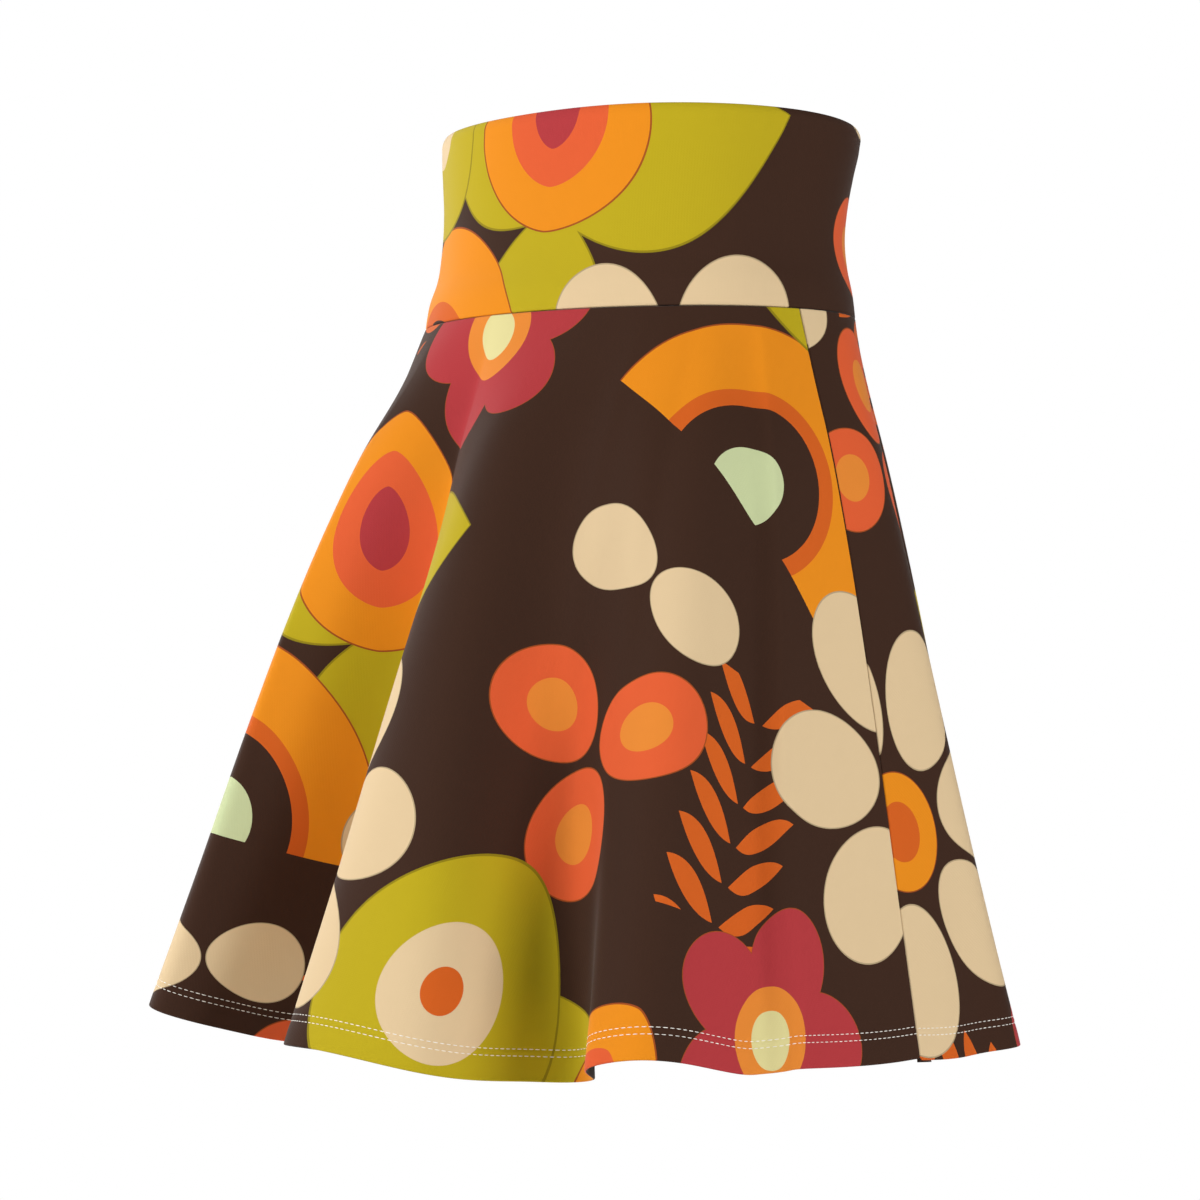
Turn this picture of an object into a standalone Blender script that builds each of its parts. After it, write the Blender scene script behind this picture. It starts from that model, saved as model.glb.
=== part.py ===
"""Circle skirt with a deep fitted waistband, hollow, hanging in folds as on its wearer.

Metres, +Z up, +X to the wearer's left, -Y to the wearer's front.  The origin is on the
waist's axis, half way up the waistband, where the wearer holds the skirt.
"""
import math
from collections import namedtuple

import bmesh
import bpy
import numpy as np

# ---------------------------------------------------------------- driving sizes, metres
HOLD_ABOVE_SEAM = 0.0470      # origin above the waist seam
SEAM_HALF_WIDTH = 0.1232      # waist seam section, side to side
SEAM_HALF_DEPTH = 0.0924      # waist seam section, front to back
SEAM_GAP = 0.0003             # between two cut pieces

BAND_HEIGHT = 0.0945
BAND_WALL = 0.0020            # waistband is double
BAND_TILT = 0.0015            # top edge is this much higher on the wearer's right
BAND_COLUMNS = 60
BAND_ROWS = 8

PANEL_WALL = 0.0015
SIDE_LENGTH = 0.3464          # cut length at the side seams
MIDDLE_LENGTH = 0.3621        # cut length at the centre of a panel
FRONT_LEAN = -0.088           # share of the front waist the grain leans by
FRONT_LEAN_HIP = 0.027
LEVELS = 60                   # steps taken down a panel
LEVELS_PER_ROW = 4
COLUMNS_PER_POINT = 3

# smooth section the folds lie about at the hem
ENVELOPE_HALF_WIDTH = 0.2290
ENVELOPE_FRONT = 0.2370
ENVELOPE_BACK = 0.1320
ENVELOPE_SHIFT = (0.0100, -0.0240)

# share of the flare reached at each share of the length
FLARE_DOWN = (0.0, 0.10, 0.20, 0.30, 0.45, 0.60, 0.80, 1.0)
FLARE_OUT = (0.0, 0.122, 0.253, 0.364, 0.514, 0.650, 0.823, 1.0)

# waistband sections: height above the seam, share of the seam's size, shift to the back
Section = namedtuple("Section", "above share back")
BAND_SECTIONS = (
    Section(0.0000, 1.000, 0.0000),
    Section(0.0125, 0.983, 0.0005),
    Section(0.0225, 0.957, 0.0015),
    Section(0.0370, 0.939, 0.0021),
    Section(0.0570, 0.942, 0.0038),
    Section(0.0715, 0.957, 0.0051),
    Section(0.0860, 0.973, 0.0066),
    Section(0.0920, 0.972, 0.0070),
    Section(0.0945, 0.958, 0.0070),
)

# Folds of the hem, one row each, from the wearer's left round by the front.
# around: 0 = wearer's left, 90 = front; reach: from the axis; breadth: of the crest or dip;
# turn: of its face from square-on; growth: 1 = from the waist, 3 = near the hem only.
Fold = namedtuple("Fold", "name around reach breadth turn growth")
FOLDS = (
    Fold("left_side_seam", 0, 0.204, 0.050, -10, 1.35),
    Fold("left_face", 17, 0.220, 0.030, -25, 1.65),
    Fold("left_dip", 24, 0.215, 0.018, 40, 1.15),
    Fold("front_left_flank", 31, 0.241, 0.024, -50, 1.05),
    Fold("front_left_crest", 40, 0.249, 0.024, 30, 1.05),
    Fold("front_left_wall", 43, 0.215, 0.024, 100, 1.85),
    Fold("left_valley", 51, 0.190, 0.017, -20, 1.55),
    Fold("left_lobe_face", 66, 0.225, 0.060, -35, 1.00),
    Fold("centre_crest", 88, 0.193, 0.065, 75, 1.25),
    Fold("centre_dip", 113, 0.122, 0.044, -80, 1.00),
    Fold("right_lobe_wall", 118, 0.221, 0.039, -120, 1.25),
    Fold("right_lobe_crest", 127, 0.233, 0.035, 15, 1.00),
    Fold("right_dip", 143, 0.186, 0.031, -10, 1.30),
    Fold("right_crest", 155, 0.241, 0.036, 10, 1.30),
    Fold("right_side_seam", 181, 0.193, 0.056, 5, 1.10),
    Fold("back_right_crest", 212, 0.209, 0.039, 40, 1.30),
    Fold("back_right_dip", 226, 0.126, 0.033, -5, 1.30),
    Fold("back_right_lobe", 246, 0.205, 0.025, 30, 1.20),
    Fold("back_inner_dip", 242, 0.098, 0.028, 35, 1.40),
    Fold("back_centre_lobe", 272, 0.179, 0.042, -10, 1.30),
    Fold("back_left_dip", 297, 0.094, 0.024, -5, 1.30),
    Fold("back_left_lobe", 300, 0.183, 0.035, -20, 1.00),
    Fold("back_side_dip", 317, 0.129, 0.024, 5, 1.00),
    Fold("back_left_crest", 334, 0.198, 0.047, -40, 1.60),
)

BROWN = (0.047, 0.021, 0.014, 1.0)
UMBER = (0.052, 0.024, 0.016, 1.0)
DARK_BROWN = (0.043, 0.019, 0.013, 1.0)


# ---------------------------------------------------------------- curves
def smooth_through(knots, values, at):
    """Curve without overshoot through a table's values, read at other places."""
    knots = np.asarray(knots, float)
    values = np.asarray(values, float)
    gap = np.diff(knots)
    slope = np.diff(values) / gap
    lean = np.empty(len(knots))
    lean[1:-1] = (slope[:-1] * gap[1:] + slope[1:] * gap[:-1]) / (gap[:-1] + gap[1:])
    lean[0] = 1.5 * slope[0] - 0.5 * lean[1]
    lean[-1] = 1.5 * slope[-1] - 0.5 * lean[-2]
    k = np.clip(np.searchsorted(knots, at) - 1, 0, len(gap) - 1)
    u = (at - knots[k]) / gap[k]
    start = values[k] * (1 + 2 * u) * (1 - u) ** 2 + gap[k] * lean[k] * u * (1 - u) ** 2
    end = values[k + 1] * u * u * (3 - 2 * u) + gap[k] * lean[k + 1] * u * u * (u - 1)
    return start + end


def fold_points():
    """Two control points a fold: x, y and growth."""
    points = []
    for fold in FOLDS:
        around = math.radians(fold.around)
        heading = math.radians(fold.around + 90 + fold.turn)
        middle = np.array([math.cos(around), -math.sin(around)]) * fold.reach
        half = np.array([math.cos(heading), -math.sin(heading)]) * fold.breadth / 2
        points.append((*(middle - half), fold.growth))
        points.append((*(middle + half), fold.growth))
    return np.array(points)


def rounded_loop(points, steps):
    """Closed cubic B-spline of the points, starting between the first two."""
    count = len(points)
    curve = []
    for i in range(count):
        near = points[[(i - 1) % count, i, (i + 1) % count, (i + 2) % count]]
        for k in range(steps):
            u = k / steps
            weights = np.array([(1 - u) ** 3, 3 * u ** 3 - 6 * u ** 2 + 4,
                                3 * u + 3 * u ** 2 - 3 * u ** 3 + 1, u ** 3]) / 6
            curve.append(weights @ near)
    return np.roll(np.array(curve), -(steps // 2), axis=0)


def run_of(curve):
    """Share of a curve's length at each of its points, and the whole length."""
    steps = np.linalg.norm(np.diff(curve[:, :2], axis=0), axis=1)
    run = np.concatenate([[0.0], np.cumsum(steps)])
    return run / run[-1], run[-1]


def half_section(width, front, back, is_front, share):
    """Half an oval section, front or back, at shares of its own length."""
    angle = np.radians(np.linspace(0, 180, 721) + (0 if is_front else 180))
    depth = front if is_front else back
    oval = np.stack([width * np.cos(angle), -depth * np.sin(angle)], axis=1)
    run, _ = run_of(oval)
    return np.stack([np.interp(share, run, oval[:, 0]), np.interp(share, run, oval[:, 1])], 1)


# ---------------------------------------------------------------- surfaces
def panel_surface(is_front):
    """Outer face of a panel: rows from the waist seam down, columns from left round."""
    fine = 12
    loop = rounded_loop(fold_points(), fine)
    loop = np.vstack([loop, loop[:1]])
    names = [fold.name for fold in FOLDS]
    seam = 2 * names.index("right_side_seam") * fine
    hem = loop[:seam + 1] if is_front else loop[seam:]
    share, _ = run_of(hem)
    pick = slice(None, None, fine // COLUMNS_PER_POINT)
    share, hem = share[pick], hem[pick]

    lean = FRONT_LEAN if is_front else 0.0
    lean_hip = FRONT_LEAN_HIP if is_front else 0.0
    bow = np.sin(np.pi * share)
    waist = half_section(SEAM_HALF_WIDTH, SEAM_HALF_DEPTH, SEAM_HALF_DEPTH,
                         is_front, share + lean * bow)
    envelope = half_section(ENVELOPE_HALF_WIDTH, ENVELOPE_FRONT, ENVELOPE_BACK,
                            is_front, share + lean_hip * bow) + np.array(ENVELOPE_SHIFT)

    down = np.linspace(0, 1, LEVELS + 1)
    flare = smooth_through(FLARE_DOWN, FLARE_OUT, down)[:, None, None]
    folded = np.maximum(down[:, None], 1e-6) ** hem[None, :, 2]
    plan = waist + (envelope - waist) * flare + (hem[:, :2] - envelope) * folded[:, :, None]

    length = SIDE_LENGTH + (MIDDLE_LENGTH - SIDE_LENGTH) * bow
    out = np.linalg.norm(np.diff(plan, axis=0), axis=2)
    drop = np.sqrt(np.maximum((length / LEVELS) ** 2 - out ** 2, 0))
    height = np.vstack([np.zeros(len(share)), -np.cumsum(drop, axis=0)])
    surface = np.dstack([plan, height - HOLD_ABOVE_SEAM])[::LEVELS_PER_ROW]
    return trimmed(surface, first_row=True, last_row=False)


def band_surface():
    """Outer face of the waistband: rows from the top down, columns from the back round."""
    above = np.array([section.above for section in BAND_SECTIONS])
    shares = [section.share for section in BAND_SECTIONS]
    backs = [section.back for section in BAND_SECTIONS]
    rows = np.concatenate([[BAND_HEIGHT], np.linspace(0.0920, 0, BAND_ROWS)])
    angle = np.radians(np.linspace(-90, 270, 1441))
    oval = np.stack([SEAM_HALF_WIDTH * np.cos(angle), -SEAM_HALF_DEPTH * np.sin(angle)], 1)
    run, _ = run_of(oval)
    at = np.linspace(0, 1, BAND_COLUMNS + 1)
    ring = np.stack([np.interp(at, run, oval[:, 0]), np.interp(at, run, oval[:, 1])], 1)
    surface = np.empty((len(rows), len(at), 3))
    for k, height in enumerate(rows):
        surface[k, :, :2] = ring * smooth_through(above, shares, height)
        surface[k, :, 1] += smooth_through(above, backs, height)
        tilt = -BAND_TILT * height / BAND_HEIGHT * ring[:, 0] / SEAM_HALF_WIDTH
        surface[k, :, 2] = height + tilt - HOLD_ABOVE_SEAM
    return trimmed(surface, first_row=False, last_row=True)


def trimmed(surface, first_row, last_row):
    """Half a seam gap taken off both sides, and off the first or last row."""
    half = SEAM_GAP / 2
    surface = surface.copy()

    def step(edge, beside):
        way = beside - edge
        return edge + way / np.linalg.norm(way, axis=-1, keepdims=True) * half

    surface[:, 0] = step(surface[:, 0], surface[:, 1])
    surface[:, -1] = step(surface[:, -1], surface[:, -2])
    if first_row:
        surface[0] = step(surface[0], surface[1])
    if last_row:
        surface[-1] = step(surface[-1], surface[-2])
    return surface


# ---------------------------------------------------------------- pieces
def material(name, colour):
    made = bpy.data.materials.new(name)
    made.use_nodes = True
    shader = made.node_tree.nodes["Principled BSDF"]
    shader.inputs["Base Color"].default_value = colour
    shader.inputs["Roughness"].default_value = 0.72
    return made


def cloth_piece(name, surface, wall, colour, collection):
    """A flat cut grid laid on the surface and given its wall on the inner side."""
    rows, columns = surface.shape[:2]
    mesh = bpy.data.meshes.new(name)
    grid = bmesh.new()
    bmesh.ops.create_grid(grid, x_segments=columns - 1, y_segments=rows - 1, size=1.0)
    grid.verts.ensure_lookup_table()
    for vert in grid.verts:
        column = round((vert.co.x + 1) / 2 * (columns - 1))
        row = round((vert.co.y + 1) / 2 * (rows - 1))
        vert.co = surface[row, column]
    grid.to_mesh(mesh)
    grid.free()
    piece = bpy.data.objects.new(name, mesh)
    collection.objects.link(piece)
    shell = piece.modifiers.new("wall", "SOLIDIFY")
    shell.thickness = wall
    shell.offset = -1.0
    shell.use_even_offset = True
    shell.use_quality_normals = True
    mesh.materials.append(material(name, colour))
    mesh.shade_smooth()
    return piece


def main():
    for item in list(bpy.data.objects):
        bpy.data.objects.remove(item, do_unlink=True)
    collection = bpy.data.collections.new("circle_skirt")
    bpy.context.scene.collection.children.link(collection)
    cloth_piece("waistband", band_surface(), BAND_WALL, BROWN, collection)
    cloth_piece("front_panel", panel_surface(True), PANEL_WALL, UMBER, collection)
    cloth_piece("back_panel", panel_surface(False), PANEL_WALL, DARK_BROWN, collection)


main()
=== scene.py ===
import math
from collections import namedtuple

import bpy
import numpy as np
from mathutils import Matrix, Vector


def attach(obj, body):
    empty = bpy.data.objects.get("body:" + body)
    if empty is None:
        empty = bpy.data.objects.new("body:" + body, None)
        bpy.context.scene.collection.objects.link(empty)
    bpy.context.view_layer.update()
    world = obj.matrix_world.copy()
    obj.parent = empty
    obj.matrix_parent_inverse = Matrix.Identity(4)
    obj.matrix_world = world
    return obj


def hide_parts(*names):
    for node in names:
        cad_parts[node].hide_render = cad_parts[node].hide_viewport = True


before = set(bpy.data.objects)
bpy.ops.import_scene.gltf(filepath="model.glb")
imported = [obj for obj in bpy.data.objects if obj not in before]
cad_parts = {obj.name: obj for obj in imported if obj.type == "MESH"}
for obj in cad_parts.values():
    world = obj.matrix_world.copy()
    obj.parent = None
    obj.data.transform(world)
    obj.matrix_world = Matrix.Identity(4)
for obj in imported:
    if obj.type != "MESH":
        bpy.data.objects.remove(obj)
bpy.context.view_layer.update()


def new_object(name, data):
    """An object of some data, linked to the scene."""
    made = bpy.data.objects.new(name, data)
    bpy.context.scene.collection.objects.link(made)
    return made


# ------------------------------------------------------------------ camera
# A long lens, level, half way up the skirt, 53 degrees round to the wearer's left.
CAMERA_AROUND = 53
CAMERA_AWAY = 1.568
CAMERA_ASIDE = -0.0177        # to its own right
CAMERA_HEIGHT = -0.1812
LENS_MM = 96.0
SENSOR_MM = 36.0

turned = math.radians(CAMERA_AROUND)
camera_right = Vector((math.cos(turned), math.sin(turned), 0))
towards_camera = Vector((math.sin(turned), -math.cos(turned), 0))
camera_data = bpy.data.cameras.new("camera")
camera_data.lens = LENS_MM
camera_data.sensor_width = SENSOR_MM
camera = new_object("camera", camera_data)
camera.location = camera_right * CAMERA_ASIDE + towards_camera * CAMERA_AWAY
camera.location.z = CAMERA_HEIGHT
camera.rotation_euler = (math.radians(90), 0, turned)
bpy.context.scene.camera = camera

# ------------------------------------------------------------------ front and back panels
# Two ring sectors of printed polyester and elastane jersey, about 0.75 mm thick, cut so that
# the hem falls in deep soft folds.  Their edges turn in at the side seams and the waist seam,
# and the hem is turned up once on the inside.
SEAM_HEIGHT = -0.0470         # the waist seam, an oval
SEAM_HALF_WIDTH = 0.1232
SEAM_HALF_DEPTH = 0.0924
SIDE_LENGTH = 0.3464          # from seam to hem along the cloth, at the side seams
MIDDLE_LENGTH = 0.3621        # and at the middle of a panel
ENVELOPE_HALF_WIDTH = 0.2290  # the wide oval that the cloth flares to and folds about
ENVELOPE_FRONT = 0.2370
ENVELOPE_BACK = 0.1320
ENVELOPE_SHIFT = (0.0100, -0.0240)
FLARE_DOWN = (0.0, 0.10, 0.20, 0.30, 0.45, 0.60, 0.80, 1.0)         # share of the way down
FLARE_OUT = (0.0, 0.122, 0.253, 0.364, 0.514, 0.650, 0.823, 1.0)    # and of the way out
CLOTH = 0.00075               # one layer
TURNED_HEM = 0.0150           # depth of the hem turned up inside
SEAM_ROLL = 0.0009            # how far an edge curls into its seam
HALF_GAP = 0.00015            # half the gap at a side seam
GAP_FADE = 0.0040             # from the edge, as far as the cloth is drawn back for the gap
STITCH_ROWS = (0.0110, 0.0140)    # the two hem stitch rows, above the edge
GROOVE = 0.00018              # how far a stitch row pulls the cloth in
GROOVE_HALF_WIDTH = 0.0007
HEM_ROUND = 0.00070           # radius of the hem edge
HEM_STEP_ABOVE = 0.0001       # the raw edge inside ends this far over the depth of the hem
HEM_STEP = 0.0003             # and thins out over this height
HEM_SIDE_FREE = 0.0015        # the doubled hem starts here from a side seam
UNDER_SHARE = 0.48            # of the wall, the most that a rounded edge takes from inside
CUT_RADIUS = 0.200            # of the waist edge of the flat cut
CUT_ANGLE = 1.70              # of the flat cut, radians

# fineness of the grids and of the curves they are read from
COLUMNS_PER_POINT = 10
BODY_ROWS = 126
REGULAR_FROM = 0.002          # from the last close row or column to the regular ones
HEM_STEPS = 6000
OVAL_STEPS = 1440             # round half an oval
DROP_STEPS = 360

# soft rolls of the hem, between the stitch rows and below them, heights above the edge
Puff = namedtuple("Puff", "above half_width out")
HEM_PUFFS = (
    Puff(sum(STITCH_ROWS) / 2, 0.0008, 0.00008),
    Puff(0.0060, 0.0035, 0.00010),
)

# around: 0 = wearer's left, 90 = front; reach: from the axis; breadth: of the crest or dip;
# turn: of its face from square-on; growth: 1 = from the waist, 3 = near the hem only
Fold = namedtuple("Fold", "name around reach breadth turn growth")
FOLDS = (
    Fold("left_side_seam", 0, 0.204, 0.050, -10, 1.35),
    Fold("left_face", 17, 0.220, 0.030, -25, 1.65),
    Fold("left_dip", 24, 0.215, 0.018, 40, 1.15),
    Fold("front_left_flank", 31, 0.241, 0.024, -50, 1.05),
    Fold("front_left_crest", 40, 0.249, 0.024, 30, 1.05),
    Fold("front_left_wall", 43, 0.215, 0.024, 100, 1.85),
    Fold("left_valley", 51, 0.190, 0.017, -20, 1.55),
    Fold("left_lobe_face", 66, 0.225, 0.060, -35, 1.00),
    Fold("centre_crest", 88, 0.193, 0.065, 75, 1.25),
    Fold("centre_dip", 113, 0.122, 0.044, -80, 1.00),
    Fold("right_lobe_wall", 118, 0.221, 0.039, -120, 1.25),
    Fold("right_lobe_crest", 127, 0.233, 0.035, 15, 1.00),
    Fold("right_dip", 143, 0.186, 0.031, -10, 1.30),
    Fold("right_crest", 155, 0.241, 0.036, 10, 1.30),
    Fold("right_side_seam", 181, 0.193, 0.056, 5, 1.10),
    Fold("back_right_crest", 212, 0.209, 0.039, 40, 1.30),
    Fold("back_right_dip", 226, 0.126, 0.033, -5, 1.30),
    Fold("back_right_lobe", 246, 0.205, 0.025, 30, 1.20),
    Fold("back_inner_dip", 242, 0.098, 0.028, 35, 1.40),
    Fold("back_centre_lobe", 272, 0.179, 0.042, -10, 1.30),
    Fold("back_left_dip", 297, 0.094, 0.024, -5, 1.30),
    Fold("back_left_lobe", 300, 0.183, 0.035, -20, 1.00),
    Fold("back_side_dip", 317, 0.129, 0.024, 5, 1.00),
    Fold("back_left_crest", 334, 0.198, 0.047, -40, 1.60),
)
FOLD_NAMES = [fold.name for fold in FOLDS]

# Soft creases that the folds leave in the cloth.  waist, hem: place across the panel, 0 = left
# seam, 1 = right seam; start: share of the length at which it begins; breadth: half, metres;
# out: how far it stands out at the hem, metres; rise: how far it lifts the hem edge, metres;
# ease: 1 = grows steadily down to the hem, 3 = mostly grown half way down
Crease = namedtuple("Crease", "panel waist hem start breadth out rise ease", defaults=(1,))
CREASES = (
    Crease("front_panel", 0.600, 0.664, 0.10, 0.022, 0.0150, 0.0010),
    Crease("front_panel", 0.535, 0.600, 0.15, 0.020, -0.0070, 0.0015),
    Crease("front_panel", 0.476, 0.476, 0.40, 0.046, 0.0000, 0.0055),
    Crease("front_panel", 0.350, 0.328, 0.05, 0.032, 0.0120, 0.0007, 3),
    Crease("front_panel", 0.300, 0.266, 0.05, 0.024, -0.0105, -0.0015, 3),
    Crease("front_panel", 0.112, 0.112, 0.05, 0.024, 0.0120, 0.0000),
    Crease("front_panel", 0.104, 0.104, 0.05, 0.013, 0.0060, 0.0027),
    Crease("back_panel", 0.965, 0.965, 0.40, 0.050, 0.0000, -0.0012),
    Crease("back_panel", 0.930, 0.950, 0.35, 0.016, -0.0040, 0.0000),
    Crease("back_panel", 0.300, 0.290, 0.20, 0.024, 0.0060, 0.0000),
    Crease("back_panel", 0.620, 0.640, 0.30, 0.020, 0.0050, 0.0000),
)

# first, last: the hem's control points from side seam to side seam; lean, lean_hip: how far
# round the middle of the waist and of the hip is drawn, as a share of the panel
Panel = namedtuple("Panel", "name first last is_front lean lean_hip")
PANELS = (
    Panel("front_panel", 0, 2 * FOLD_NAMES.index("right_side_seam"), True, -0.088, 0.027),
    Panel("back_panel", 2 * FOLD_NAMES.index("right_side_seam"), 2 * len(FOLDS), False, 0, 0),
)

# rows and columns set close together, metres from the waist seam, hem edge and side seams
ROWS_AT_WAIST = (0, 0.0002, 0.0005, 0.0009, 0.0014, 0.0022, 0.0036)
ROWS_AT_HEM = (0.0180, 0.0166, 0.0156, 0.0151, 0.0148, 0.0144, 0.0140, 0.0136, 0.0131, 0.0125,
               0.0119, 0.0114, 0.0110, 0.0106, 0.0100, 0.0088, 0.0070, 0.0048, 0.0030, 0.0017,
               0.0009, 0.00050, 0.00025, 0.00008, 0)
COLUMNS_AT_SEAM = (0, 0.0003, 0.0007, 0.0012, 0.0020, 0.0032, 0.0048)


def smooth_through(knots, values, at):
    """Curve without overshoot through a table's values, read at other places."""
    knots = np.asarray(knots, float)
    values = np.asarray(values, float)
    gap = np.diff(knots)
    slope = np.diff(values) / gap
    lean = np.empty(len(knots))
    lean[1:-1] = (slope[:-1] * gap[1:] + slope[1:] * gap[:-1]) / (gap[:-1] + gap[1:])
    lean[0] = 1.5 * slope[0] - 0.5 * lean[1]
    lean[-1] = 1.5 * slope[-1] - 0.5 * lean[-2]
    k = np.clip(np.searchsorted(knots, at) - 1, 0, len(gap) - 1)
    u = (at - knots[k]) / gap[k]
    start = values[k] * (1 + 2 * u) * (1 - u) ** 2 + gap[k] * lean[k] * u * (1 - u) ** 2
    end = values[k + 1] * u * u * (3 - 2 * u) + gap[k] * lean[k + 1] * u * u * (u - 1)
    return start + end


def fold_points():
    """Two control points a fold: x, y and growth."""
    points = []
    for fold in FOLDS:
        around = math.radians(fold.around)
        heading = math.radians(fold.around + 90 + fold.turn)
        middle = np.array([math.cos(around), -math.sin(around)]) * fold.reach
        half = np.array([math.cos(heading), -math.sin(heading)]) * fold.breadth / 2
        points.append((*(middle - half), fold.growth))
        points.append((*(middle + half), fold.growth))
    return np.array(points)


def on_loop(points, at):
    """Closed cubic B-spline of the points; 0 is half way between the first two."""
    whole = np.floor(at + 0.5).astype(int)
    u = (at + 0.5 - whole)[:, None]
    count = len(points)
    near = [points[(whole + k) % count] for k in (-1, 0, 1, 2)]
    return (near[0] * (1 - u) ** 3 + near[1] * (3 * u ** 3 - 6 * u ** 2 + 4)
            + near[2] * (3 * u + 3 * u ** 2 - 3 * u ** 3 + 1) + near[3] * u ** 3) / 6


def run_of(curve):
    """Length along a curve at each of its points."""
    steps = np.linalg.norm(np.diff(curve, axis=0), axis=1)
    return np.concatenate([[0.0], np.cumsum(steps)])


def half_oval(width, depth, is_front, share):
    """Half an oval section, front or back, at shares of its own length."""
    angle = np.radians(np.linspace(0, 180, OVAL_STEPS + 1) + (0 if is_front else 180))
    oval = np.stack([width * np.cos(angle), -depth * np.sin(angle)], axis=1)
    run = run_of(oval)
    run /= run[-1]
    return np.stack([np.interp(share, run, oval[:, 0]), np.interp(share, run, oval[:, 1])], 1)


def facing(grid):
    """Unit normals of a grid whose rows run down and whose columns run left round by the front."""
    normal = np.cross(np.gradient(grid, axis=1), np.gradient(grid, axis=0))
    return normal / np.linalg.norm(normal, axis=2, keepdims=True)


def curl(distance, radius):
    """How far in a rounded edge lies, by distance from the edge."""
    inside = np.clip(radius - distance, 0, radius)
    return radius - np.sqrt(radius ** 2 - inside ** 2)


def bump_at(distance, centre, width):
    """Bell curve, 1 at its centre."""
    return np.exp(-((distance - centre) / width) ** 2)


def panel_grid(panel):
    """Outer face of a panel without creases, and each point's distance from waist and hem."""
    points = fold_points()
    fine = np.linspace(panel.first, panel.last, HEM_STEPS + 1)
    run = run_of(on_loop(points, fine)[:, :2])
    whole = run[-1]
    near = np.array(COLUMNS_AT_SEAM)
    regular = np.arange(panel.first, panel.last, 1 / COLUMNS_PER_POINT)
    regular_run = np.interp(regular, fine, run)
    margin = near[-1] + REGULAR_FROM
    regular = regular[(regular_run > margin) & (regular_run < whole - margin)]
    at = np.concatenate([np.interp(near, run, fine), regular,
                         np.interp(whole - near[::-1], run, fine)])
    hem = on_loop(points, at)
    share = np.interp(at, fine, run) / whole

    bow = np.sin(np.pi * share)
    waist = half_oval(SEAM_HALF_WIDTH, SEAM_HALF_DEPTH, panel.is_front, share + panel.lean * bow)
    depth = ENVELOPE_FRONT if panel.is_front else ENVELOPE_BACK
    envelope = half_oval(ENVELOPE_HALF_WIDTH, depth, panel.is_front, share + panel.lean_hip * bow)
    envelope = envelope + np.array(ENVELOPE_SHIFT)
    length = SIDE_LENGTH + (MIDDLE_LENGTH - SIDE_LENGTH) * bow

    def plan(down):
        """Places seen from above, at shares of the length down."""
        flare = smooth_through(FLARE_DOWN, FLARE_OUT, down)[..., None]
        folded = np.maximum(down, 1e-6) ** hem[None, :, 2]
        return (waist + (envelope - waist) * flare
                + (hem[:, :2] - envelope) * folded[..., None])

    even = np.linspace(0, 1, DROP_STEPS + 1)
    out = np.linalg.norm(np.diff(plan(np.repeat(even[:, None], len(at), 1)), axis=0), axis=2)
    drop = np.sqrt(np.maximum((length / DROP_STEPS) ** 2 - out ** 2, 0))
    height = np.vstack([np.zeros(len(at)), -np.cumsum(drop, axis=0)])

    below = [np.full(len(at), d) for d in ROWS_AT_WAIST]
    first = ROWS_AT_WAIST[-1] + REGULAR_FROM
    last = length - ROWS_AT_HEM[0] - REGULAR_FROM
    below += [first + (last - first) * k / (BODY_ROWS - 1) for k in range(BODY_ROWS)]
    below += [length - d for d in ROWS_AT_HEM]
    below = np.array(below)
    down = below / length
    grid = np.empty((*below.shape, 3))
    grid[..., :2] = plan(down)
    for k in range(len(at)):
        grid[:, k, 2] = SEAM_HEIGHT + np.interp(down[:, k], even, height[:, k])
    return grid, below, length - below


Layers = namedtuple("Layers", "outer inner flat from_left below above_hem")


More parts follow.
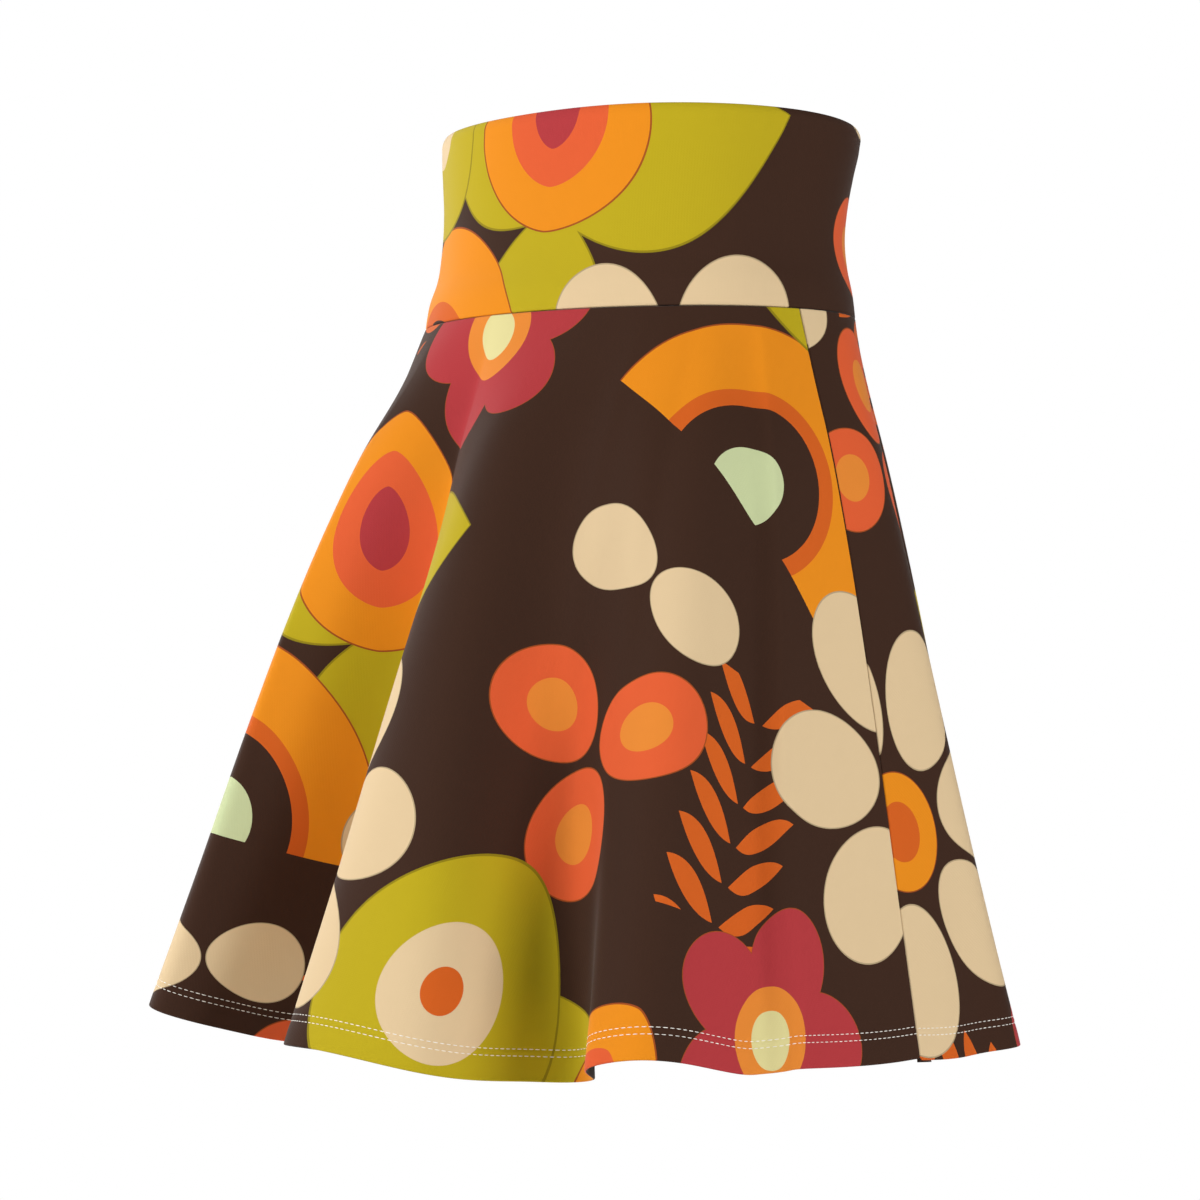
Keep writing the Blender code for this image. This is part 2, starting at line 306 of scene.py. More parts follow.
def panel_layers(panel):
    """Outer face, inner face and flat place of a panel's cloth, and its distances in metres."""
    grid, below, above_hem = panel_grid(panel)
    step = np.linalg.norm(np.diff(grid, axis=1), axis=2)
    from_left = np.concatenate([np.zeros((len(grid), 1)), np.cumsum(step, axis=1)], axis=1)
    from_right = from_left[:, -1:] - from_left
    side = np.minimum(from_left, from_right)
    along = np.gradient(grid, axis=1)
    along /= np.linalg.norm(along, axis=2, keepdims=True)
    inward = np.where(from_left < from_right, 1.0, -1.0) * np.clip(1 - side / GAP_FADE, 0, 1)
    grid = grid + along * (inward * HALF_GAP)[..., None]

    outwards = facing(grid)
    down = below / (below + above_hem)
    share = from_left / from_left[:, -1:]
    for crease in CREASES:
        if crease.panel != panel.name:
            continue
        middle = crease.waist + (crease.hem - crease.waist) * down
        away = (share - middle) * from_left[:, -1:]
        grown = np.clip((down - crease.start) / (1 - crease.start), 0, 1)
        form = bump_at(away, 0, crease.breadth) * (1 - (1 - grown) ** crease.ease)
        for row in range(len(grid)):
            place = np.median(middle[row])
            way = np.array([np.interp(place, share[row], outwards[row, :, k]) for k in (0, 1)])
            way = way / np.linalg.norm(way)
            grid[row, :, :2] += np.outer(form[row] * crease.out, way)
        grid[..., 2] += form * crease.rise

    normal = facing(grid)
    sunk = np.maximum(curl(side, SEAM_ROLL), curl(below, SEAM_ROLL))
    pull = sum(bump_at(above_hem, row, GROOVE_HALF_WIDTH) for row in STITCH_ROWS) * GROOVE
    puff = sum(bump_at(above_hem, one.above, one.half_width) * one.out for one in HEM_PUFFS)
    grid = grid + normal * (puff - pull - sunk)[..., None]

    normal = facing(grid)
    doubled = np.clip((TURNED_HEM + HEM_STEP_ABOVE - above_hem) / HEM_STEP, 0, 1)
    doubled = doubled * np.clip((side - HEM_SIDE_FREE) / HEM_SIDE_FREE, 0, 1)
    wall = CLOTH * (1 + doubled)
    rounded = curl(above_hem, HEM_ROUND)
    outer = grid - normal * rounded[..., None]
    inner = grid - normal * (wall - np.minimum(rounded, wall * UNDER_SHARE))[..., None]

    angle = (share - 0.5) * CUT_ANGLE
    radius = CUT_RADIUS + below
    flat = np.stack([radius * np.sin(angle), -radius * np.cos(angle)], axis=2)
    return Layers(outer, inner, flat, from_left, below, above_hem)


def shell_of_cloth(name, outer, inner, flat, face_finish, back_finish):
    """One closed shell of two grids: printed face outside, plain back inside."""
    rows, columns = outer.shape[:2]
    count = rows * columns
    points = np.vstack([outer.reshape(-1, 3), inner.reshape(-1, 3)])
    index = np.arange(count).reshape(rows, columns)
    a, b, c, d = index[:-1, :-1], index[1:, :-1], index[1:, 1:], index[:-1, 1:]
    front = np.stack([a, d, c, b], axis=2).reshape(-1, 4)
    back = np.stack([a, b, c, d], axis=2).reshape(-1, 4) + count
    around = np.concatenate([index[:, 0], index[-1, 1:], index[-2::-1, -1], index[0, -2:0:-1]])
    ahead = np.roll(around, -1)
    rim = np.stack([around, ahead, ahead + count, around + count], axis=1)
    faces = np.vstack([front, back, rim])

    mesh = bpy.data.meshes.new(name)
    mesh.vertices.add(len(points))
    mesh.vertices.foreach_set("co", points.ravel())
    mesh.loops.add(faces.size)
    mesh.loops.foreach_set("vertex_index", faces.ravel())
    mesh.polygons.add(len(faces))
    mesh.polygons.foreach_set("loop_start", np.arange(len(faces)) * 4)
    mesh.polygons.foreach_set("loop_total", np.full(len(faces), 4))
    mesh.update(calc_edges=True)
    spread = mesh.uv_layers.new(name="cut")
    places = np.vstack([flat.reshape(-1, 2), flat.reshape(-1, 2)])
    spread.data.foreach_set("uv", places[faces.ravel()].ravel())
    finish = np.zeros(len(faces), int)
    finish[len(front):len(front) + len(back)] = 1
    mesh.materials.append(face_finish)
    mesh.materials.append(back_finish)
    mesh.polygons.foreach_set("material_index", finish)
    mesh.shade_smooth()
    mesh.validate()
    return new_object(name, mesh)


def linear(hex_colour):
    """sRGB hex value as linear red, green, blue and alpha."""
    parts = [int(hex_colour[k:k + 2], 16) / 255 for k in (1, 3, 5)]
    return (*(c / 12.92 if c <= 0.04045 else ((c + 0.055) / 1.055) ** 2.4 for c in parts), 1.0)


def add(tree, kind, inputs=None, **settings):
    """Adds a node; inputs, by number or name, are sockets to link or constants."""
    node = tree.nodes.new(kind)
    for key, value in settings.items():
        setattr(node, key, value)
    for key, value in (inputs or {}).items():
        if isinstance(value, bpy.types.NodeSocket):
            tree.links.new(value, node.inputs[key])
        else:
            node.inputs[key].default_value = value
    return node


def plain_colour(tree, hex_colour):
    """A node of one colour."""
    node = add(tree, "ShaderNodeRGB")
    node.outputs[0].default_value = linear(hex_colour)
    return node.outputs[0]


def plain_material(name, hex_colour, roughness):
    """A material of one colour."""
    made = bpy.data.materials.new(name)
    made.use_nodes = True
    shader = made.node_tree.nodes["Principled BSDF"]
    shader.inputs["Base Color"].default_value = linear(hex_colour)
    shader.inputs["Roughness"].default_value = roughness
    return made


# Colours of the print.
GROUND = "#3c271d"
AMBER = "#E2891C"
BURNT_ORANGE = "#CD5E20"
LIME = "#B6A21D"
CREAM = "#D9BF97"
CORAL = "#DA5C33"
LIGHT_ORANGE = "#DF8534"
CRIMSON = "#AD393D"
MINT = "#C5CF9F"
LEMON = "#DAD093"
OLIVE = "#8E7E18"
RUST = "#9A4A20"
SAND = "#B09A78"

# The print, a repeat of flowers, leaves, arches and pebbles.  Each next column of the repeat
# stands half a repeat lower.
REPEAT_WIDE = 0.320
REPEAT_TALL = 0.420
Motif = namedtuple("Motif", "name x y turn")
MOTIFS = (
    Motif("daisy", 0.000, 0.000, 10),
    Motif("arches", 0.160, 0.030, 105),
    Motif("leaves", 0.066, 0.118, -80),
    Motif("tulip", 0.068, 0.166, 95),
    Motif("pebbles", 0.163, -0.118, 20),
    Motif("blossom", 0.004, -0.160, 0),
    Motif("fern", 0.078, -0.092, 70),
    Motif("pear", 0.184, 0.180, 100),
    Motif("drops", 0.172, -0.036, 8),
)

# count: copies round the motif's middle; out: from that middle; long, wide: half sizes;
# taper: how much wider outwards; point: 1 = leaf, 2 = oval; cut: where it ends inwards;
# bands: colours from the middle outwards, each up to its share of the size
Shape = namedtuple("Shape", "motif count out long wide taper point cut bands")
SHAPES = (
    Shape("leaves", 3, 0.0600, 0.0640, 0.0420, -0.1, 1, None, ((LIME, 0.985), (OLIVE, 1.0))),
    Shape("drops", 2, 0.0260, 0.0250, 0.0190, 0.2, 2, None, ((CREAM, 0.98), (SAND, 1.0))),
    Shape("pebbles", 3, 0.0345, 0.0295, 0.0240, 0.1, 2, None,
          ((LIGHT_ORANGE, 0.45), (CORAL, 0.98), (RUST, 1.0))),
    Shape("arches", 1, 0.0000, 0.0870, 0.0800, 0.0, 2, -0.1,
          ((MINT, 0.22), (GROUND, 0.48), (BURNT_ORANGE, 0.58), (AMBER, 0.99), (RUST, 1.0))),
    Shape("tulip", 1, 0.0000, 0.0590, 0.0510, -0.3, 1.6, None,
          ((CRIMSON, 0.34), (CORAL, 0.64), (AMBER, 0.985), (RUST, 1.0))),
    Shape("pear", 1, 0.0000, 0.0680, 0.0530, -0.3, 2, None,
          ((BURNT_ORANGE, 0.16), (CREAM, 0.48), (LIME, 0.98), (OLIVE, 1.0))),
    Shape("blossom", 5, 0.0330, 0.0255, 0.0230, 0.0, 2, None, ((CRIMSON, 0.985), (RUST, 1.0))),
    Shape("blossom", 1, 0.0000, 0.0230, 0.0230, 0.0, 2, None,
          ((LEMON, 0.55), (LIGHT_ORANGE, 1.0))),
    Shape("daisy", 7, 0.0660, 0.0340, 0.0260, 0.1, 2, None, ((CREAM, 0.98), (SAND, 1.0))),
    Shape("daisy", 1, 0.0000, 0.0270, 0.0270, 0.0, 2, None,
          ((BURNT_ORANGE, 0.50), (AMBER, 0.98), (RUST, 1.0))),
)

# the fern: leaflets in pairs along a bare stem
FERN_HALF_LONG = 0.0570
FERN_HALF_PITCH = 0.0095      # between leaflets along the stem
LEAFLET_LEAN = 0.7            # how far up a leaflet goes for its way out
LEAFLET_OUT = 0.0165          # its middle, from the stem
LEAFLET_HALF_LONG = 0.0145
LEAFLET_HALF_WIDE = 0.0066

# where each piece is cut from the printed cloth
PRINT_SHIFTS = {"front_panel": (0.02, 0.05), "back_panel": (0.31, -0.12),
                "waistband": (0.11, 0.07)}

# relief of the knit: widths of a wale and a course, lean and share of the loops, depth
KNIT_WALE = 0.0014
KNIT_COURSE = 0.0011
LOOP_SLANT = 1.6
LOOP_SHARE = 0.35
KNIT_DEPTH = 0.0001


def number(tree, operation, *values):
    """One step of arithmetic on sockets and constants."""
    return add(tree, "ShaderNodeMath", dict(enumerate(values)), operation=operation).outputs[0]


def about_motif(tree, split, motif):
    """Place relative to the nearest copy of a motif, as distance and angle from its middle."""
    x = number(tree, "SUBTRACT", split.outputs[0], motif.x)
    y = number(tree, "SUBTRACT", split.outputs[1], motif.y)
    column = number(tree, "ROUND", number(tree, "DIVIDE", x, REPEAT_WIDE))
    x = number(tree, "MULTIPLY_ADD", column, -REPEAT_WIDE, x)
    y = number(tree, "MULTIPLY_ADD", column, -REPEAT_TALL / 2, y)
    y = number(tree, "WRAP", y, REPEAT_TALL / 2, -REPEAT_TALL / 2)
    angle = number(tree, "SUBTRACT", number(tree, "ARCTAN2", y, x), math.radians(motif.turn))
    flat = add(tree, "ShaderNodeCombineXYZ", {0: x, 1: y})
    far = add(tree, "ShaderNodeVectorMath", {0: flat.outputs[0]}, operation="LENGTH")
    return far.outputs["Value"], angle


def shape_share(tree, far, angle, shape):
    """Square of the share of a shape's size at which a place lies; 1 is its outline."""
    folded = number(tree, "PINGPONG", angle, math.pi / shape.count)
    along = number(tree, "MULTIPLY", far, number(tree, "COSINE", folded))
    aside = number(tree, "MULTIPLY", far, number(tree, "SINE", folded))
    along = number(tree, "DIVIDE", number(tree, "SUBTRACT", along, shape.out), shape.long)
    width = number(tree, "MULTIPLY_ADD", along, shape.wide * shape.taper, shape.wide)
    aside = number(tree, "POWER", number(tree, "DIVIDE", aside, width), shape.point)
    share = number(tree, "MULTIPLY_ADD", along, along, aside)
    if shape.cut is not None:
        beyond = number(tree, "LESS_THAN", along, shape.cut)
        share = number(tree, "ADD", share, beyond)
    return share


def fern_share(tree, far, angle):
    """The same for a fern: leaflets in pairs, leaning up along a bare stem."""
    along = number(tree, "MULTIPLY", far, number(tree, "COSINE", angle))
    aside = number(tree, "ABSOLUTE", number(tree, "MULTIPLY", far, number(tree, "SINE", angle)))
    row = number(tree, "MULTIPLY_ADD", aside, -LEAFLET_LEAN, along)
    row = number(tree, "WRAP", row, FERN_HALF_PITCH, -FERN_HALF_PITCH)
    row = number(tree, "DIVIDE", number(tree, "ABSOLUTE", row), LEAFLET_HALF_WIDE)
    out = number(tree, "SUBTRACT", aside, LEAFLET_OUT)
    out = number(tree, "DIVIDE", out, LEAFLET_HALF_LONG)
    share = number(tree, "MULTIPLY_ADD", out, out, row)
    beyond = number(tree, "GREATER_THAN", number(tree, "ABSOLUTE", along), FERN_HALF_LONG)
    return number(tree, "ADD", share, beyond)


def painted(tree, under, share, bands):
    """A shape's bands of colour laid over the colour under it."""
    ramp = add(tree, "ShaderNodeValToRGB", {0: share})
    ramp.color_ramp.interpolation = "CONSTANT"
    stops = ramp.color_ramp.elements
    start = 0.0
    for k, (colour, upto) in enumerate(bands):
        stop = stops[0] if k == 0 else stops.new(start)
        stop.color = linear(colour)
        start = min(upto ** 2, 0.9999)
    last = stops[len(stops) - 1]
    last.position = start
    last.color = (0, 0, 0, 0)
    return add(tree, "ShaderNodeMix", {0: ramp.outputs["Alpha"], 6: under,
                                       7: ramp.outputs["Color"]}, data_type="RGBA").outputs[2]


def printed_colour(tree, place):
    """Colour of the print at a flat place on the cloth."""
    split = add(tree, "ShaderNodeSeparateXYZ", {0: place})
    colour = plain_colour(tree, GROUND)
    around = {motif.name: about_motif(tree, split, motif) for motif in MOTIFS}
    colour = painted(tree, colour, fern_share(tree, *around["fern"]), ((BURNT_ORANGE, 1.0),))
    for shape in SHAPES:
        share = shape_share(tree, *around[shape.motif], shape)
        colour = painted(tree, colour, share, shape.bands)
    return colour


def knit_height(tree, place):
    """Relief of plain jersey: slanted stitches in columns a wale apart."""
    split = add(tree, "ShaderNodeSeparateXYZ", {0: place})
    columns = number(tree, "DIVIDE", split.outputs[0], KNIT_WALE)
    tent = number(tree, "PINGPONG", columns, 0.5)
    rows = number(tree, "DIVIDE", split.outputs[1], KNIT_COURSE)
    slant = number(tree, "MULTIPLY_ADD", tent, LOOP_SLANT, rows)
    loop = number(tree, "SINE", number(tree, "MULTIPLY", slant, math.tau))
    rib = number(tree, "MULTIPLY", tent, 2.0)
    return number(tree, "MULTIPLY_ADD", loop, LOOP_SHARE, rib)


def jersey(name, printed, shift):
    """Smooth matt polyester and elastane jersey; the face is printed, the back plain."""
    made = bpy.data.materials.new(name)
    made.use_nodes = True
    tree = made.node_tree
    shader = tree.nodes["Principled BSDF"]
    shader.inputs["Roughness"].default_value = 0.78
    shader.inputs["Specular IOR Level"].default_value = 0.06
    shader.inputs["Sheen Weight"].default_value = 0.15
    shader.inputs["Sheen Roughness"].default_value = 0.30
    coordinates = add(tree, "ShaderNodeTexCoord")
    place = add(tree, "ShaderNodeMapping", {0: coordinates.outputs["UV"]})
    place.inputs["Location"].default_value = (*shift, 0)
    place = place.outputs[0]
    colour = printed_colour(tree, place) if printed else plain_colour(tree, GROUND)
    tree.links.new(colour, shader.inputs["Base Color"])
    bump = add(tree, "ShaderNodeBump", {"Height": knit_height(tree, place), "Strength": 0.25,
                                        "Distance": KNIT_DEPTH})
    tree.links.new(bump.outputs[0], shader.inputs["Normal"])
    return made


panel_parts = {}
for panel in PANELS:
    layers = panel_layers(panel)
    shift = PRINT_SHIFTS[panel.name]
    face = jersey("printed_polyester_jersey_" + panel.name, True, shift)
    back = jersey("plain_back_of_jersey_" + panel.name, False, shift)
    piece = shell_of_cloth(panel.name + "_cloth", layers.outer, layers.inner, layers.flat,
                           face, back)
    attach(piece, "root")
    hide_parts(panel.name)
    panel_parts[panel.name] = layers

# ------------------------------------------------------------------ seam allowances
# The cut edges of the side seams and the waist seam, two layers of jersey 7 mm deep, pressed
# to the back and down on the inside.  They close the seams from within, and at the side seams
# their raw lower ends hang a millimetre under the hem.
ALLOWANCE = 0.0070
ALLOWANCE_CLEAR = 0.00012     # from the inner face
BELOW_WAIST_ROW = 12          # of the inner face, where the side allowances start
CLEAR_OF_SIDES = slice(6, -6)     # columns that the waist allowances follow
RAW_END_DROP = 0.0032         # how far a raw end hangs down from where it would lie
RAW_END_FROM = 0.0080         # above the hem edge, where an end starts to come away
RAW_END_ROW = 0.0017          # above the hem edge, the last row of the inner face it follows
inside_out = jersey("plain_back_of_jersey_seam_allowances", False, (0, 0))


def strip_inside(name, layers, rows, columns):
    """Strip of doubled cloth lying against the inner face over some rows and columns."""
    grid = layers.inner[rows, columns]
    normal = facing(layers.inner)[rows, columns]
    over = grid - normal * ALLOWANCE_CLEAR
    low = np.clip(1 - layers.above_hem[rows, columns] / RAW_END_FROM, 0, 1)
    over[..., 2] -= low * RAW_END_DROP
    under = over - normal * 2 * CLOTH
    strip = shell_of_cloth(name, over, under, layers.flat[rows, columns], inside_out, inside_out)
    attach(strip, "root")
    return strip


for name, layers in panel_parts.items():
    upper = int(np.searchsorted(layers.below[:, 0], ALLOWANCE))
    strip_inside(name + "_waist_allowance", layers, slice(1, upper),
                                   CLEAR_OF_SIDES)
layers = panel_parts["back_panel"]
last_row = int(np.searchsorted(-layers.above_hem[:, 0], -RAW_END_ROW))
width = layers.from_left[last_row // 2]
first = int(np.searchsorted(width, ALLOWANCE))
last = int(np.searchsorted(width, width[-1] - ALLOWANCE))
for side, columns in (("right", slice(0, first)), ("left", slice(last, None))):
    strip_inside(side + "_side_allowance", layers,
                                   slice(BELOW_WAIST_ROW, last_row + 1), columns)

# ------------------------------------------------------------------ hem stitching
# Two rows of cream polyester cover stitch, one dash every 3 mm, staggered, through the turned
# hem; inside, a looper thread zigzags between the rows and covers the raw edge.
STITCH_PITCH = 0.0030
STITCH_LENGTH = 0.0023
THREAD = 0.00040
STITCH_FREE = 0.0016          # from a side seam to the first stitch
STITCH_OUT = 0.00010          # the stitches' middle, from the outer face
STITCH_LEAST = (0.88, 0.9, 0.9)   # shares of a stitch's length, width and height
STITCH_MOST = (1.06, 1.1, 1.1)
STITCH_SEED = 7
LINE_STEP = 0.001             # between the points of the lines that the stitches follow
LOOPER_IN = 0.00022           # the looper thread's middle, from the inner face
LOOPER_ABOVE = 0.0008         # how far over the upper row it crosses the raw edge
cream_thread = plain_material("cream_polyester_sewing_thread", "#F8F4EC", 0.55)


def row_above_hem(grid, layers, height):
    """The row of a panel's grid at a height above its hem edge."""
    return grid[int(np.argmin(np.abs(layers.above_hem[:, 0] - height)))]


def spread_along(line, run, at):
    """Values of a line at distances along it."""
    return np.stack([np.interp(at, run, line[:, k]) for k in range(3)], axis=1)


def stitch_nodes():
    """Geometry Nodes: rounded dashes along edge lines, lying square on the cloth."""
    group = bpy.data.node_groups.new("running_stitches", "GeometryNodeTree")
    sockets = group.interface
    sockets.new_socket(name="Lines", in_out="INPUT", socket_type="NodeSocketGeometry")
    for name in ("Pitch", "Length", "Thickness"):
        sockets.new_socket(name=name, in_out="INPUT", socket_type="NodeSocketFloat")
    sockets.new_socket(name="Seed", in_out="INPUT", socket_type="NodeSocketInt")
    sockets.new_socket(name="Thread", in_out="INPUT", socket_type="NodeSocketMaterial")
    sockets.new_socket(name="Stitches", in_out="OUTPUT", socket_type="NodeSocketGeometry")
    given = add(group, "NodeGroupInput").outputs
    curve = add(group, "GeometryNodeMeshToCurve", {0: given["Lines"]}).outputs[0]
    curve = add(group, "GeometryNodeResampleCurve", {"Curve": curve, "Length": given["Pitch"]},
                mode="LENGTH").outputs[0]
    square = add(group, "GeometryNodeInputNamedAttribute", {"Name": "out"},
                 data_type="FLOAT_VECTOR").outputs[0]
    upright = add(group, "FunctionNodeAlignRotationToVector", {"Vector": square}, axis="Z")
    along = add(group, "GeometryNodeInputTangent").outputs[0]
    turned = add(group, "FunctionNodeAlignRotationToVector",
                 {"Rotation": upright.outputs[0], "Vector": along}, axis="X", pivot_axis="Z")
    ball = add(group, "GeometryNodeMeshUVSphere", {"Segments": 8, "Rings": 6, "Radius": 0.5})
    size = add(group, "ShaderNodeCombineXYZ",
               {0: given["Length"], 1: given["Thickness"], 2: given["Thickness"]})
    dash = add(group, "GeometryNodeTransform",
               {"Geometry": ball.outputs[0], "Scale": size.outputs[0]})
    uneven = add(group, "FunctionNodeRandomValue",
                 {0: STITCH_LEAST, 1: STITCH_MOST, "Seed": given["Seed"]},
                 data_type="FLOAT_VECTOR")
    placed = add(group, "GeometryNodeInstanceOnPoints",
                 {"Points": curve, "Instance": dash.outputs[0],
                  "Rotation": turned.outputs[0], "Scale": uneven.outputs[0]})
    whole = add(group, "GeometryNodeRealizeInstances", {0: placed.outputs[0]}).outputs[0]
    smooth = add(group, "GeometryNodeSetShadeSmooth", {0: whole}).outputs[0]
    threaded = add(group, "GeometryNodeSetMaterial",
                   {"Geometry": smooth, "Material": given["Thread"]}).outputs[0]
    add(group, "NodeGroupOutput", {0: threaded})
    return group


def lines_object(name, lines, outs):
    """Mesh of open lines, with the way out of the cloth at each point."""
    mesh = bpy.data.meshes.new(name)
    points = np.vstack(lines)
    edges = []
    start = 0
    for line in lines:
        edges += [(start + k, start + k + 1) for k in range(len(line) - 1)]
        start += len(line)
    mesh.from_pydata(points.tolist(), edges, [])
    way = mesh.attributes.new("out", "FLOAT_VECTOR", "POINT")
    way.data.foreach_set("vector", np.vstack(outs).ravel())
    return new_object(name, mesh)


def made_solid(name, source):
    """The evaluated mesh of an object as a new plain object; the source is removed."""
    depsgraph = bpy.context.evaluated_depsgraph_get()
    mesh = bpy.data.meshes.new_from_object(source.evaluated_get(depsgraph))
    bpy.data.objects.remove(source, do_unlink=True)
    return new_object(name, mesh)


def zigzag_thread(name, first_row, second_row, radius):
    """A thread that crosses from one row to the other and back."""
    count = min(len(first_row), len(second_row))
    points = [(first_row if k % 2 else second_row)[k] for k in range(count)]
    curve = bpy.data.curves.new(name, "CURVE")
    curve.dimensions = "3D"
    spline = curve.splines.new("POLY")
    spline.points.add(len(points) - 1)
    spline.points.foreach_set("co", np.hstack([points, np.ones((len(points), 1))]).ravel())
    curve.bevel_depth = radius
    curve.bevel_resolution = 1
    curve.use_fill_caps = True
    curve.materials.append(cream_thread)
    return made_solid(name + "_thread", new_object(name, curve))


stitch_group = stitch_nodes()
stitch_inputs = {item.name: item.identifier for item in stitch_group.interface.items_tree
                 if item.in_out == "INPUT"}
for seed, (name, layers) in enumerate(panel_parts.items()):
    way_out = facing(layers.outer)
    lines, outs = [], []
    for height, start in zip(STITCH_ROWS, (0, STITCH_PITCH / 2)):
        line = row_above_hem(layers.outer, layers, height)
        run = run_of(line)
        at = np.arange(STITCH_FREE + start, run[-1] - STITCH_FREE, LINE_STEP)
        out = spread_along(row_above_hem(way_out, layers, height), run, at)
        lines.append(spread_along(line, run, at) + out * STITCH_OUT)
        outs.append(out)
    source = lines_object(name + "_stitch_lines", lines, outs)
    modifier = source.modifiers.new("stitches", "NODES")
    modifier.node_group = stitch_group
    modifier[stitch_inputs["Pitch"]] = STITCH_PITCH
    modifier[stitch_inputs["Length"]] = STITCH_LENGTH
    modifier[stitch_inputs["Thickness"]] = THREAD
    modifier[stitch_inputs["Seed"]] = STITCH_SEED + seed
    modifier[stitch_inputs["Thread"]] = cream_thread
    stitches = made_solid(name + "_hem_stitches", source)
    way_in = -facing(layers.inner) * LOOPER_IN
    rows_inside = []
    for height in (STITCH_ROWS[0], STITCH_ROWS[1] + LOOPER_ABOVE):
        line = row_above_hem(layers.inner + way_in, layers, height)
        run = run_of(line)
        at = np.arange(STITCH_FREE, run[-1] - STITCH_FREE, STITCH_PITCH / 2)
        rows_inside.append(spread_along(line, run, at))
    looper = zigzag_thread(name + "_hem_looper", *rows_inside, THREAD / 2)
    for piece in (stitches, looper):
        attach(piece, "root")

# ------------------------------------------------------------------ waistband
# A strip of the same jersey, folded double along its top edge, joined at the centre back and
# stretched over the waist; its lower edges are sewn to the panels.
BAND_HEIGHT = 0.0945
BAND_WALL = 0.0020            # two layers of jersey
BAND_THINNED = 0.9            # of the wall, the most that a curled edge takes from inside
BAND_TILT = 0.0015            # top edge is this much higher on the wearer's right
# above: height over the waist seam; share: of the oval at the seam; back: shift to the back
Section = namedtuple("Section", "above share back")
BAND_SECTIONS = (
    Section(0.0000, 1.000, 0.0000),
    Section(0.0125, 0.983, 0.0005),
    Section(0.0225, 0.957, 0.0015),
    Section(0.0370, 0.939, 0.0021),
    Section(0.0570, 0.942, 0.0038),
    Section(0.0715, 0.957, 0.0051),
    Section(0.0860, 0.973, 0.0066),
    Section(0.0920, 0.972, 0.0070),
    Section(0.0945, 0.958, 0.0070),
)
# where the top edge rises or sinks a little; around as for the folds; spread in degrees
Swell = namedtuple("Swell", "around rise spread")
BAND_SWELLS = (
    Swell(40, 0.0011, 34),
    Swell(-52, -0.0036, 44),
)
BAND_COLUMNS = 260
BAND_ROWS = 60
BODY_ABOVE_SEAM = 0.0052      # the lowest regular row
BODY_BELOW_TOP = 0.0048       # the highest regular row
ROWS_AT_TOP = (0, 0.00012, 0.00035, 0.0007, 0.0012, 0.0020, 0.0032)


def band_layers():
    """Outer face, inner face and flat place of the waistband, rows from the top down."""
    above = [section.above for section in BAND_SECTIONS]
    shares = [section.share for section in BAND_SECTIONS]
    backs = [section.back for section in BAND_SECTIONS]
    heights = np.concatenate([
        BAND_HEIGHT - np.array(ROWS_AT_TOP),
        np.linspace(BAND_HEIGHT - BODY_BELOW_TOP, BODY_ABOVE_SEAM, BAND_ROWS),
        np.array(ROWS_AT_WAIST)[::-1]])
    angle = np.radians(np.linspace(-90, 270, 2 * OVAL_STEPS + 1))
    oval = np.stack([SEAM_HALF_WIDTH * np.cos(angle), -SEAM_HALF_DEPTH * np.sin(angle)], 1)
    run = run_of(oval)
    near = np.array(COLUMNS_AT_SEAM)
    margin = near[-1] + REGULAR_FROM
    regular = np.linspace(margin, run[-1] - margin, BAND_COLUMNS)
    at = np.concatenate([near, regular, run[-1] - near[::-1]])
    ring = np.stack([np.interp(at, run, oval[:, 0]), np.interp(at, run, oval[:, 1])], 1)
    around = np.degrees(np.arctan2(-ring[:, 1], ring[:, 0]))
    swell = sum(one.rise * bump_at((around - one.around + 180) % 360, 180, one.spread)
                for one in BAND_SWELLS)
    grid = np.empty((len(heights), len(at), 3))
    for k, height in enumerate(heights):
        grid[k, :, :2] = ring * smooth_through(above, shares, height)
        grid[k, :, 1] += smooth_through(above, backs, height)
        tilt = -BAND_TILT * height / BAND_HEIGHT * ring[:, 0] / SEAM_HALF_WIDTH
        grid[k, :, 2] = height + tilt + swell * (height / BAND_HEIGHT) ** 2 + SEAM_HEIGHT
    side = np.minimum(at, run[-1] - at)[None, :]
    normal = facing(grid)
    sunk = np.maximum(curl(side, SEAM_ROLL), curl(heights, SEAM_ROLL)[:, None])
    grid = grid - normal * sunk[..., None]
    rounded = curl(BAND_HEIGHT - heights, BAND_WALL / 2)[:, None]
    outer = grid - normal * rounded[..., None]
    wall = BAND_WALL - np.clip(sunk, 0, BAND_WALL * BAND_THINNED)
    inner = grid - normal * (wall - np.minimum(rounded, wall * UNDER_SHARE))[..., None]
    flat = np.empty((*grid.shape[:2], 2))
    flat[..., 0] = (at - run[-1] / 2)[None, :]
    flat[..., 1] = heights[:, None]
    return outer, inner, flat


outer, inner, flat = band_layers()
waistband = shell_of_cloth(
    "waistband_cloth", outer, inner, flat,
    jersey("printed_polyester_jersey_waistband", True, PRINT_SHIFTS["waistband"]),
    jersey("plain_back_of_jersey_waistband", False, (0, 0)))
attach(waistband, "root")
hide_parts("waistband")

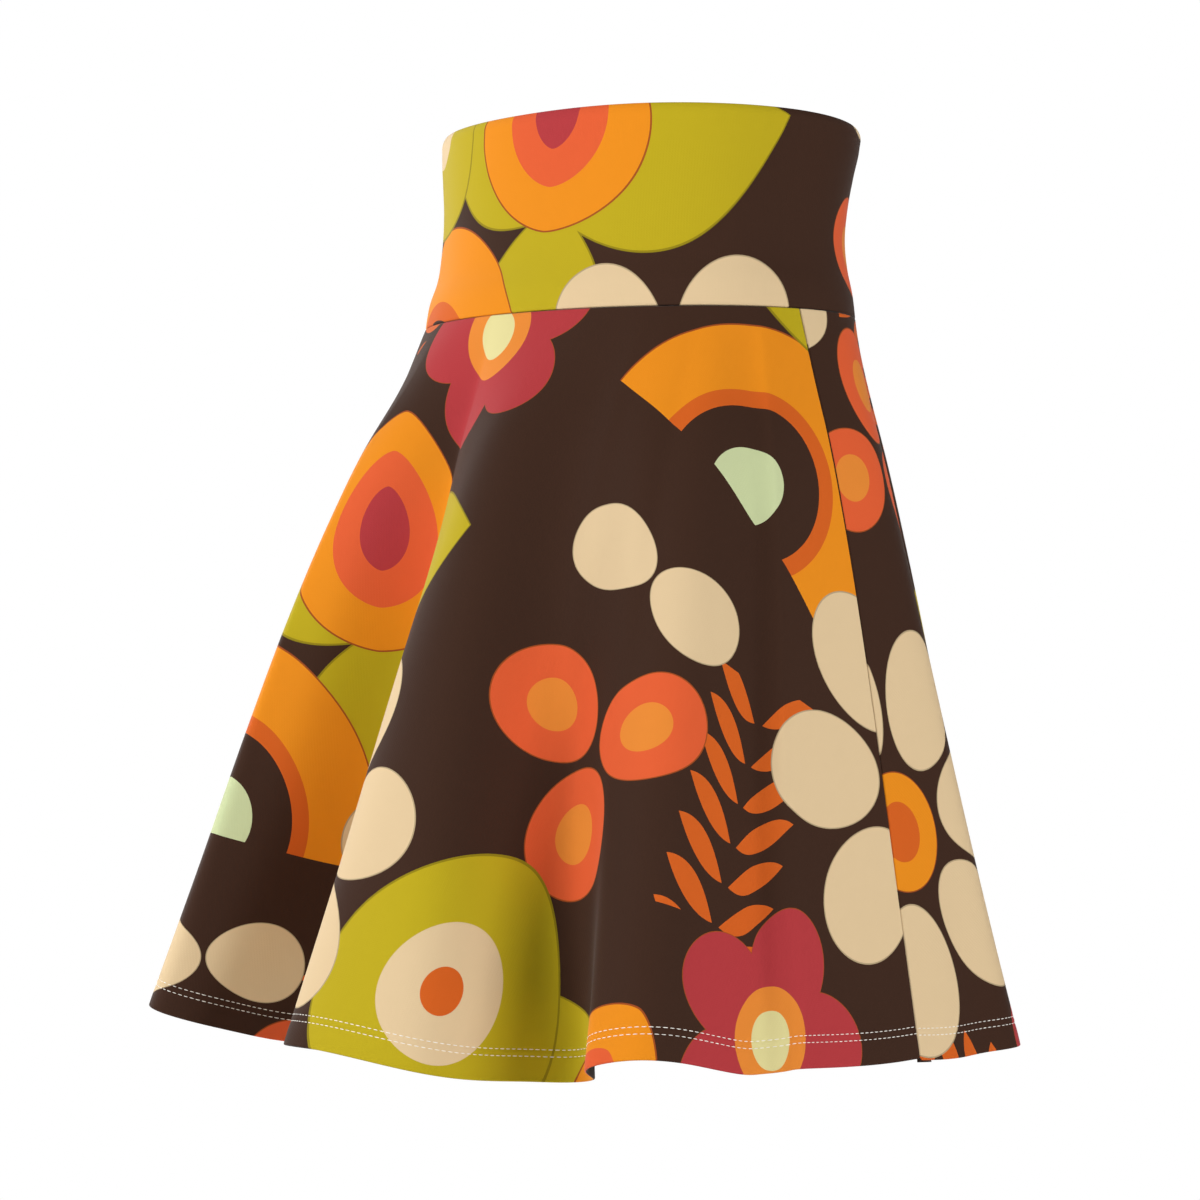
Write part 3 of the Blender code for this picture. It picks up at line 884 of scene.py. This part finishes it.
# ------------------------------------------------------------------ floor and light
# A pale matt floor where the wearer's feet would be, and six soft boxes.
FLOOR_HEIGHT = -1.03
FLOOR_RADIUS = 2.4
FLOOR_SIDES = 96
FILL_LIGHT = 0.03
floor_mesh = bpy.data.meshes.new("floor")
corners = [math.tau * k / FLOOR_SIDES for k in range(FLOOR_SIDES)]
rim = [(FLOOR_RADIUS * math.cos(a), FLOOR_RADIUS * math.sin(a), FLOOR_HEIGHT) for a in corners]
floor_mesh.from_pydata(rim, [], [tuple(range(FLOOR_SIDES))])
floor = new_object("floor", floor_mesh)
floor_mesh.materials.append(plain_material("matt_white_floor_paint", "#F2F1EE", 0.9))

world = bpy.data.worlds.new("studio")
bpy.context.scene.world = world
world.use_nodes = True
tree = world.node_tree
tree.nodes.clear()
seen = add(tree, "ShaderNodeLightPath")
backdrop = add(tree, "ShaderNodeBackground", {0: (1, 1, 1, 1), 1: 1.0})
fill = add(tree, "ShaderNodeBackground", {0: (1, 1, 1, 1), 1: FILL_LIGHT})
either = add(tree, "ShaderNodeMixShader", {0: seen.outputs["Is Camera Ray"], 1: fill.outputs[0],
                                           2: backdrop.outputs[0]})
add(tree, "ShaderNodeOutputWorld", {0: either.outputs[0]})

# around: degrees to the right of the camera's side; high: metres over the skirt's middle
SoftBox = namedtuple("SoftBox", "name around away high size watts")
SOFT_BOXES = (
    SoftBox("left_soft_box", -66, 2.1, 0.60, 0.9, 34),
    SoftBox("right_soft_box", 42, 2.1, 0.60, 0.9, 28),
    SoftBox("front_soft_box", 4, 2.2, 0.20, 0.8, 8),
    SoftBox("far_left_soft_box", -95, 2.1, 0.75, 1.4, 12),
    SoftBox("back_left_soft_box", -140, 2.1, 0.75, 1.4, 22),
    SoftBox("far_right_soft_box", 95, 2.1, 0.75, 1.4, 6),
)
for box in SOFT_BOXES:
    lamp_data = bpy.data.lights.new(box.name, "AREA")
    lamp_data.shape = "SQUARE"
    lamp_data.size = box.size
    lamp_data.energy = box.watts
    lamp = new_object(box.name, lamp_data)
    side = math.radians(box.around)
    away = towards_camera * math.cos(side) + camera_right * math.sin(side)
    lamp.location = away * box.away + Vector((0, 0, CAMERA_HEIGHT + box.high))
    aim = Vector((0, 0, CAMERA_HEIGHT)) - lamp.location
    lamp.rotation_euler = aim.to_track_quat("-Z", "Y").to_euler()
bpy.context.scene.view_settings.view_transform = "Standard"
